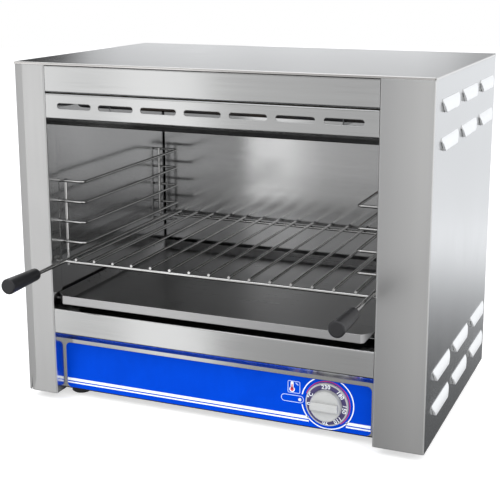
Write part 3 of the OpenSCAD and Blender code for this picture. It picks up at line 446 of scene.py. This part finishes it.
# The brightest colour of the posts' painted sheen.
POST_SHEEN_BRIGHT = (0.94, 0.94, 0.935)
# The pale colour painted on the louvres as a highlight.
LOUVRE_HIGHLIGHT = (0.86, 0.87, 0.88)


def shade_of(colour, share):
    return tuple(min(1, c * share) for c in colour)


class Finish:
    """One material, with short calls for what it is built from."""

    def __init__(self, name, colour, metallic=0.0, roughness=0.5, **extra):
        self.material = bpy.data.materials.new(name)
        self.material.use_nodes = True
        self.tree = self.material.node_tree
        self.shader = self.tree.nodes["Principled BSDF"]
        self.colour = colour
        self.set("Base Color", (*colour, 1))
        self.set("Metallic", metallic)
        self.set("Roughness", roughness)
        for key, value in extra.items():
            self.set(key.replace("_", " "), value)
        self.material.diffuse_color = (*colour, 1)

    def set(self, key, value):
        self.shader.inputs[key].default_value = value

    def link(self, output, key):
        self.tree.links.new(output, self.shader.inputs[key])

    def use(self, group, **values):
        made = self.tree.nodes.new("ShaderNodeGroup")
        made.node_tree = group
        for key, value in values.items():
            made.inputs[key].default_value = value
        return made.outputs

    def spread(self, value, low, high, from_low=0.0, from_high=1.0):
        return spread(self.tree, value, low, high, from_low, from_high)

    def tint(self, share, first, second):
        return mix(self.tree, share, first, second)

    def rougher(self, rough, mask, by):
        return maths(self.tree, "MULTIPLY_ADD", mask, by, rough)

    def bump(self, height, distance, strength, normal=None):
        values = {"Height": height, "Distance": distance, "Strength": strength}
        if normal is not None:
            values["Normal"] = normal
        self.link(node(self.tree, "ShaderNodeBump", values).outputs[0], "Normal")


def steel(name, colour, stretch, roughness, depth=0.00001, edge=SOFT_EDGE, places=None):
    """Brushed sheet: scratches along one way, faint hand marks, softened edges and a painted
    highlight along them.
    places is the function that changes colour and roughness where only this sheet differs."""
    made = Finish(name, colour, metallic=1.0)
    lines = made.use(BRUSHED, Stretch=stretch)
    marks = made.use(SMUDGES)
    edges = made.use(EDGES, Radius=edge)
    base = made.tint(made.spread(lines["Shade"], 0.0, 1.0, *SCRATCHES), shade_of(colour, 0.94),
                     colour)
    # Painted highlight: the edges are brightened in colour.
    base = made.tint(made.spread(edges["Mask"], 0.0, 0.9), base, shade_of(colour, 1.25))
    rough = made.spread(lines["Shade"], *roughness, *SCRATCHES)
    rough = made.rougher(rough, marks["Mask"], HAND_MARKS)
    if places:
        base, rough = places(made, base, rough)
    made.link(base, "Base Color")
    made.link(rough, "Roughness")
    made.bump(lines["Height"], depth, 0.35, edges["Normal"])
    return made.material


def reflection_left_of_middle(made, base, rough):
    """The back wall, with a painted reflection left of the middle and darker towards its ends."""
    # Painted reflection: the base colour is darkened away from a bright band left of the middle.
    reflection = made.use(WALL_REFLECTION_MASK)["Mask"]
    return made.tint(reflection, shade_of(made.colour, 0.72), base), rough


def shaded_returns(made, base, rough):
    """The strips, whose folded returns are darkened with painted shade and are less polished."""
    folded = made.use(RETURNS)["Mask"]
    # Painted shade: the returns behind the front plane are darkened.
    base = made.tint(folded, base, shade_of(made.colour, 0.42))
    return base, made.rougher(rough, folded, 0.10)


def posts_and_louvres(made, base, rough):
    """The side panels: rougher posts with a painted sheen across them, and louvres with a pale
    painted highlight, less metallic and rougher.
    """
    panel = made.use(PANEL_PLACES)
    # Painted sheen: the posts' colour brightens across them.
    post = made.tint(panel["Painted Sheen"], shade_of(made.colour, 0.92), POST_SHEEN_BRIGHT)
    base = made.tint(panel["Post"], base, post)
    # Painted highlight: the louvres are paler and less metallic.
    base = made.tint(panel["Hoods"], base, LOUVRE_HIGHLIGHT)
    made.link(made.spread(panel["Hoods"], 1.0, 0.5), "Metallic")
    rough = made.rougher(rough, panel["Post"], 0.17)
    return base, made.rougher(rough, panel["Hoods"], 0.22)


def plastic(name, colour, roughness, grain=1500.0, depth=0.00003, **extra):
    """Moulded plastic, phenolic or rubber with its fine grain, softened edges and a painted
    highlight along them.
    """
    made = Finish(name, colour, roughness=roughness, **extra)
    specks = made.use(SPECKLE, Scale=grain)
    edges = made.use(EDGES, Radius=SOFT_EDGE)
    marks = made.use(SMUDGES, Scale=22.0)
    base = made.tint(specks["Shade"], shade_of(colour, 0.9), colour)
    # Painted highlight: the edges are brightened in colour.
    base = made.tint(edges["Mask"], base, shade_of(colour, 1.25))
    made.link(base, "Base Color")
    made.link(made.spread(marks["Mask"], roughness - 0.06, roughness + 0.08), "Roughness")
    made.bump(specks["Height"], depth, 0.6, edges["Normal"])
    return made.material


def plated_wire(name, colour, roughness, shaded_undersides=False):
    """Bright plating with faint marks, and painted shade on its undersides if asked."""
    made = Finish(name, colour, metallic=1.0, roughness=roughness)
    specks = made.use(SPECKLE, Scale=900.0)
    marks = made.use(SMUDGES, Scale=30.0)
    base = made.tint(marks["Mask"], colour, shade_of(colour, 0.86))
    if shaded_undersides:
        # Painted shade: the undersides are darkened, and the tops keep the plating's colour.
        facing = node(made.tree, "ShaderNodeTexCoord").outputs["Normal"]
        upward = node(made.tree, "ShaderNodeSeparateXYZ", {0: facing}).outputs[2]
        top = made.spread(upward, 0.0, 1.0, -0.4, 0.05)
        base = made.tint(top, shade_of(colour, 0.06), base)
    made.link(base, "Base Color")
    made.link(made.spread(marks["Mask"], roughness, roughness + 0.08), "Roughness")
    made.bump(specks["Height"], 0.00001, 0.4)
    return made.material


def heat_toned(name):
    """Steel tube that has gone dark and brownish in patches."""
    made = Finish(name, (0.16, 0.15, 0.15), metallic=1.0, roughness=0.42)
    marks = made.use(SMUDGES, Scale=14.0)
    specks = made.use(SPECKLE, Scale=1200.0)
    made.link(made.tint(marks["Mask"], (0.14, 0.14, 0.15), (0.24, 0.19, 0.15)), "Base Color")
    made.link(made.spread(marks["Mask"], 0.34, 0.55), "Roughness")
    made.bump(specks["Height"], 0.00005, 0.7)
    return made.material


def mineral_wool(name):
    """Yellow wool of crossing fibres."""
    made = Finish(name, (0.62, 0.54, 0.34), roughness=0.95)
    tangle = made.use(BRUSHED, Stretch=(0.25, 1.0, 1.0), Fine=420.0, Broad=60.0)
    cross = made.use(BRUSHED, Stretch=(1.0, 0.25, 1.0), Fine=380.0, Broad=50.0)
    made.link(made.tint(tangle["Shade"], (0.42, 0.34, 0.18), (0.78, 0.70, 0.46)), "Base Color")
    made.bump(maths(made.tree, "MAXIMUM", tangle["Height"], cross["Height"]), 0.0012, 0.9)
    return made.material


def galvanised(name):
    """Zinc-coated sheet, with its crystal flakes."""
    made = Finish(name, (0.55, 0.56, 0.57), metallic=1.0, roughness=0.45)
    flakes = node(made.tree, "ShaderNodeTexVoronoi", {
        "Vector": object_place(made.tree), "Scale": 95.0})
    marks = made.use(SMUDGES)
    edges = made.use(EDGES, Radius=SOFT_EDGE)
    tone = node(made.tree, "ShaderNodeSeparateColor", {0: flakes.outputs["Color"]}).outputs[0]
    base = made.tint(tone, (0.44, 0.45, 0.46), (0.62, 0.63, 0.65))
    made.link(made.tint(made.spread(marks["Mask"], 0.0, 0.5), base, (0.5, 0.5, 0.5)), "Base Color")
    made.link(made.spread(tone, 0.36, 0.52), "Roughness")
    made.bump(flakes.outputs["Distance"], 0.00003, 0.4, edges["Normal"])
    return made.material


def printed_film(name):
    """Deep blue ink under a satin film."""
    made = Finish(name, (0.0, 0.055, 0.56), roughness=0.4, Specular_IOR_Level=0.02)
    specks = made.use(SPECKLE, Scale=2200.0)
    marks = made.use(SMUDGES, Scale=16.0)
    made.link(made.tint(marks["Mask"], (0.0, 0.050, 0.52), (0.0, 0.057, 0.58)), "Base Color")
    made.link(made.spread(marks["Mask"], 0.30, 0.40), "Roughness")
    made.bump(specks["Height"], 0.00001, 0.5)
    return made.material


def printed_ink(name, colour):
    """Ink with the faint unevenness of screen print."""
    made = Finish(name, colour, roughness=0.4)
    specks = made.use(SPECKLE, Scale=1800.0)
    made.link(made.tint(specks["Shade"], shade_of(colour, 0.92), colour), "Base Color")
    made.link(made.spread(specks["Shade"], 0.35, 0.45), "Roughness")
    made.bump(specks["Height"], 0.00001, 0.4)
    return made.material


# The way the scratches of a brushed sheet run.
LEFT_RIGHT = (0.02, 1.0, 1.0)
UP_DOWN = (1.0, 1.0, 0.02)

FINISHES = {
    "cover_steel": steel("cover_steel", (0.83, 0.812, 0.795), LEFT_RIGHT, (0.10, 0.16)),
    "panel_steel": steel("panel_steel", (0.765, 0.768, 0.772), UP_DOWN, (0.15, 0.22),
                         edge=0.0014, places=posts_and_louvres),
    "strip_steel": steel("strip_steel", (0.76, 0.765, 0.765), LEFT_RIGHT, (0.11, 0.17),
                         edge=0.0011, places=shaded_returns),
    "control_steel": steel("control_steel", (0.70, 0.705, 0.70), LEFT_RIGHT, (0.13, 0.19)),
    "cavity_steel": steel("cavity_steel", (0.73, 0.733, 0.737), LEFT_RIGHT, (0.15, 0.20),
                          depth=0.000003),
    "back_wall_steel": steel("back_wall_steel", (0.76, 0.763, 0.767), LEFT_RIGHT, (0.13, 0.20),
                             depth=0.000006, places=reflection_left_of_middle),
    "zinc_steel": galvanised("zinc_steel"),
    "wire": plated_wire("plated_wire", (0.92, 0.92, 0.91), 0.12, shaded_undersides=True),
    "film": printed_film("blue_film"),
    "grip_black": plastic("black_phenolic", (0.014, 0.014, 0.016), 0.40, 1100.0, 0.00004,
                          Specular_IOR_Level=0.55, Coat_Weight=0.25, Coat_Roughness=0.35),
    "knob_grey": plastic("light_grey_plastic", (0.46, 0.465, 0.46), 0.42),
    "lamp_lens": plastic("white_lens", (0.88, 0.90, 0.92), 0.18, 2500.0, Transmission_Weight=0.15,
                         Coat_Weight=0.5),
    "foot_black": plastic("black_rubber", (0.018, 0.018, 0.019), 0.7, 900.0, 0.00008),
    "heater_tube": heat_toned("heat_toned_tube"),
    "ceramic": plastic("white_ceramic", (0.80, 0.77, 0.69), 0.3, 700.0, Coat_Weight=0.3),
    "wool": mineral_wool("mineral_wool"),
    "thermostat": plastic("tan_phenolic", (0.42, 0.32, 0.2), 0.5),
    "copper": plated_wire("copper", (0.72, 0.38, 0.22), 0.28),
    "screw_steel": plated_wire("bright_zinc", (0.66, 0.67, 0.68), 0.25),
    "gland_black": plastic("black_nylon", (0.022, 0.022, 0.024), 0.5, 1000.0),
    "lead": plastic("red_silicone", (0.42, 0.035, 0.025), 0.5, 800.0),
    "tray_steel": steel("tray_steel", (0.71, 0.71, 0.715), LEFT_RIGHT, (0.26, 0.32),
                        depth=0.000003, edge=0.0012),
}
WHITE_INK = printed_ink("white_ink", (0.90, 0.95, 0.98))
PALE_INK = printed_ink("pale_blue_ink", (0.50, 0.62, 0.86))
RED_INK = printed_ink("red_ink", (0.70, 0.04, 0.10))
DIAL_INK = printed_ink("violet_dial_ink", (0.062, 0.048, 0.15))

# Sheets whose finish differs from the others of their slot.
SHEETS = {"upper_front_strip": "strip_steel", "vent_strip": "strip_steel",
          "lower_front_strip": "strip_steel", "control_panel": "control_steel",
          "back_cavity_wall": "back_wall_steel"}


def dress_nodes():
    """Each solid gets the finish of its slot in the record."""
    for row in frame["record"]["subparts"]:
        name, slot = row["node"], row["material_slot"]
        mesh = nodes[name].data
        mesh.materials.clear()
        mesh.materials.append(FINISHES[SHEETS.get(name, slot)])


# ---------------------------------------------------------------- piece making

# Thickness of a layer of ink, in metres.
PRINT = 0.00006


def new_piece(name, shape, body, finish):
    mesh = bpy.data.meshes.new(name)
    bmesh.ops.recalc_face_normals(shape, faces=shape.faces)
    shape.to_mesh(mesh)
    shape.free()
    piece = bpy.data.objects.new(name, mesh)
    scene.collection.objects.link(piece)
    mesh.materials.append(finish)
    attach(piece, body)


def print_layer(shape, back):
    """Lays flat faces on the plane y = back and pulls them forward by the thickness of ink."""
    for corner in shape.verts:
        corner.co.y = back
    grown = bmesh.ops.extrude_face_region(shape, geom=shape.faces[:])
    moved = [g for g in grown["geom"] if isinstance(g, bmesh.types.BMVert)]
    bmesh.ops.translate(shape, verts=moved, vec=(0, -PRINT, 0))
    bmesh.ops.remove_doubles(shape, verts=shape.verts, dist=1e-7)


def stand_up(shape, centre):
    """Turns a shape that lies flat to face the front, and moves it from the origin to centre."""
    bmesh.ops.rotate(shape, cent=(0, 0, 0), matrix=Matrix.Rotation(math.radians(90), 3, "X"),
                     verts=shape.verts)
    bmesh.ops.translate(shape, vec=centre, verts=shape.verts)
    return shape


def plate(width, height, round_by=0.0, segments=8):
    """A flat plate that lies round the origin, in millimetres, its corners rounded if asked."""
    shape = bmesh.new()
    bmesh.ops.create_grid(shape, x_segments=1, y_segments=1, size=0.5)
    bmesh.ops.scale(shape, vec=(width * MM, height * MM, 1), verts=shape.verts)
    if round_by:
        bmesh.ops.bevel(shape, geom=shape.verts[:], offset=round_by * MM, affect="VERTICES",
                        segments=segments, profile=0.5, material=-1)
    return shape


def flat_bar(left, right, low, high, back, round_by=0.0):
    """A flat bar from corner to corner in cabinet millimetres, its corners rounded if asked."""
    shape = plate(right - left, high - low, round_by)
    stand_up(shape, at((left + right) / 2, 0, (low + high) / 2))
    print_layer(shape, back)
    return shape


def frame_band(left, right, low, high, round_by, line, back):
    """A rounded outline, such as round a label: a bar with its middle inset and taken out."""
    shape = plate(right - left, high - low, round_by, segments=10)
    bmesh.ops.remove_doubles(shape, verts=shape.verts, dist=1e-7)
    inner = shape.faces[:]
    bmesh.ops.inset_region(shape, faces=inner, thickness=line * MM, use_even_offset=True,
                           use_boundary=True)
    bmesh.ops.delete(shape, geom=inner, context="FACES")
    stand_up(shape, at((left + right) / 2, 0, (low + high) / 2))
    print_layer(shape, back)
    return shape


def flat_band(centre, inner, outer, start, sweep, back, steps):
    """A flat ring or arc that faces the front: degrees run anticlockwise from the right."""
    shape = bmesh.new()
    turn = Matrix.Rotation(math.radians(-start), 4, "Y")
    ends = [shape.verts.new(centre + turn @ Vector((r * MM, 0, 0))) for r in (inner, outer)]
    edge = shape.edges.new(ends)
    bmesh.ops.spin(shape, geom=ends + [edge], cent=centre, axis=(0, -1, 0),
                   angle=math.radians(sweep), steps=steps, use_merge=sweep >= 360)
    print_layer(shape, back)
    return shape


def disc(centre, radius, back):
    shape = bmesh.new()
    bmesh.ops.create_circle(shape, segments=48, radius=radius * MM, cap_ends=True)
    stand_up(shape, centre)
    print_layer(shape, back)
    return shape


def cut_to(shape, height, side):
    """Cuts a closed shape off at a height, above if side is 1 or below if -1, and closes it."""
    cut = bmesh.ops.bisect_plane(
        shape, geom=shape.verts[:] + shape.edges[:] + shape.faces[:], plane_co=(0, 0, height),
        plane_no=(0, 0, side), clear_outer=True)
    rims = [g for g in cut["geom_cut"] if isinstance(g, bmesh.types.BMEdge)]
    bmesh.ops.holes_fill(shape, edges=rims)


def join(*shapes):
    whole = shapes[0]
    for extra in shapes[1:]:
        carry = bpy.data.meshes.new("carry")
        extra.to_mesh(carry)
        extra.free()
        whole.from_mesh(carry)
        bpy.data.meshes.remove(carry)
    return whole


# ---------------------------------------------------------------- print on the film

# Millimetres and degrees. Heights, and boxes as left, right, low, high, are measured from the
# cabinet's left front lower corner.
STRIPES = ((15.2, 4.2), (10.25, 2.1))
STRIPES_MEET_RING = 13.5
STRIPE_MARGIN = 0.5
RING_RADIUS = 37.0
RING_LINE = 1.5
RING_RISE = 0.9
RING_START = 191
RING_SWEEP = 337.5
RING_FROM_TOP = 0.4
RING_FROM_FOOT = 0.2
ARC_INNER = 31.3
ARC_OUTER = 32.4
ARC_START = -55
ARC_SWEEP = 215
OUTLINE = 0.9
LABEL = (393.5, 426.5, 34.2, 44.8)
LABEL_ROUND = 5.0
SQUARE = (403.1, 421.2, 47.4, 65.0)
SQUARE_ROUND = 2.2
BULB_AT = (409.5, 0, 52.7)
BULB_RADIUS = 3.9
BULB_RED = 2.6
STEM = (407.4, 411.6, 52.8, 64.0)
STEM_ROUND = 2.0
STEM_RED = (408.7, 410.3, 52.7, 60.2)
STEM_RED_ROUND = 0.7
MARK = (413.7, 419.1, 60.5, 61.8)
MARK_ROUND = 0.6
MARK_PIVOT = (416.5, 0, 61.1)
MARK_TURN = 38


def film_stripes(low, high, dial):
    """Two white stripes along the foot of the film, which stop at the ring round the knob."""
    left, right = ((corner.x - CORNER.x) / MM for corner in (low, high))
    dial_x, _, dial_z = (dial - CORNER) / MM
    reach = math.sqrt(RING_RADIUS ** 2 - (dial_z - STRIPES_MEET_RING) ** 2)
    runs = ((left + STRIPE_MARGIN, dial_x - reach), (dial_x + reach, right - STRIPE_MARGIN))
    bars = [flat_bar(start, end, middle_z - width / 2, middle_z + width / 2, low.y)
            for start, end in runs for middle_z, width in STRIPES]
    new_piece("film_stripes", join(*bars), "cabinet", WHITE_INK)


def film_ring(low, high, dial):
    """The white ring is open at the left, where the label sits, and cut by the film's edges."""
    centre = dial + Vector((0, 0, RING_RISE * MM))
    ring = flat_band(centre, RING_RADIUS - RING_LINE / 2, RING_RADIUS + RING_LINE / 2, RING_START,
                     RING_SWEEP, dial.y, 120)
    cut_to(ring, high.z - RING_FROM_TOP * MM, 1)
    cut_to(ring, low.z + RING_FROM_FOOT * MM, -1)
    new_piece("film_ring", ring, "cabinet", WHITE_INK)


def film_outlines(face):
    """The outlines of the lamp's label and of the square round the thermometer."""
    label = frame_band(*LABEL, LABEL_ROUND, OUTLINE, face)
    new_piece("film_label_outline", label, "cabinet", PALE_INK)
    square = frame_band(*SQUARE, SQUARE_ROUND, OUTLINE, face)
    new_piece("film_square_outline", square, "cabinet", PALE_INK)


def film_thermometer(face):
    """A thermometer with its red filling, and a short slanted mark beside it."""
    glass = join(flat_bar(*STEM, face, STEM_ROUND), disc(at(*BULB_AT), BULB_RADIUS, face))
    new_piece("film_thermometer", glass, "cabinet", WHITE_INK)
    red = join(flat_bar(*STEM_RED, face - PRINT, STEM_RED_ROUND),
               disc(at(*BULB_AT), BULB_RED, face - PRINT))
    new_piece("film_thermometer_red", red, "cabinet", RED_INK)
    mark = flat_bar(*MARK, face, MARK_ROUND)
    bmesh.ops.rotate(mark, cent=at(*MARK_PIVOT), verts=mark.verts,
                     matrix=Matrix.Rotation(math.radians(MARK_TURN), 3, "Y"))
    new_piece("film_mark", mark, "cabinet", PALE_INK)


def film_print():
    low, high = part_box("printed_film")
    dial = middle("knob_skirt")
    dial.y = low.y
    film_stripes(low, high, dial)
    film_ring(low, high, dial)
    arc = flat_band(dial, ARC_INNER, ARC_OUTER, ARC_START, ARC_SWEEP, dial.y, 90)
    new_piece("film_heat_arc", arc, "cabinet", RED_INK)
    film_outlines(low.y)
    film_thermometer(low.y)


# ---------------------------------------------------------------- scale on the knob

# Millimetres, and for each figure its degrees anticlockwise from the right.
SCALE_INNER = 21.9
SCALE_OUTER = 28.3
FIGURE_HEIGHT = 7.8
FIGURE_RADIUS = 25.1
FIGURE_BOLDER = 0.02
FIGURE_SPACING = 1.1
FIGURES = (("0", 184), ("°C", 156), ("230", 93), ("180", 41), ("150", -6), ("110", -51),
           ("70", -93))


def figure(words, centre, angle, back):
    """Figures laid round a dial, with their tops outward."""
    curve = bpy.data.curves.new("figure", "FONT")
    curve.body = words
    curve.size = FIGURE_HEIGHT * MM
    curve.align_x = "CENTER"
    curve.align_y = "CENTER"
    curve.extrude = PRINT / 2
    curve.offset = FIGURE_HEIGHT * MM * FIGURE_BOLDER
    curve.space_character = FIGURE_SPACING
    holder = bpy.data.objects.new("figure", curve)
    scene.collection.objects.link(holder)
    bpy.context.view_layer.update()
    flat = bpy.data.meshes.new_from_object(holder)
    shape = bmesh.new()
    shape.from_mesh(flat)
    bpy.data.objects.remove(holder)
    bpy.data.meshes.remove(flat)
    stand_up(shape, (0, 0, FIGURE_RADIUS * MM))
    bmesh.ops.rotate(shape, cent=(0, 0, 0), verts=shape.verts,
                     matrix=Matrix.Rotation(math.radians(90 - angle), 3, "Y"))
    bmesh.ops.translate(shape, vec=(centre.x, back - PRINT / 2, centre.z), verts=shape.verts)
    return shape


def dial_print():
    centre = middle("knob_skirt")
    centre.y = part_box("knob_skirt")[0].y
    ring = flat_band(centre, SCALE_INNER, SCALE_OUTER, 0, 360, centre.y, 96)
    new_piece("dial_ring", ring, "knob", DIAL_INK)
    figures = join(*[figure(words, centre, angle, centre.y - PRINT) for words, angle in FIGURES])
    new_piece("dial_figures", figures, "knob", WHITE_INK)


make_camera()
make_studio()
dress_nodes()
film_print()
dial_print()
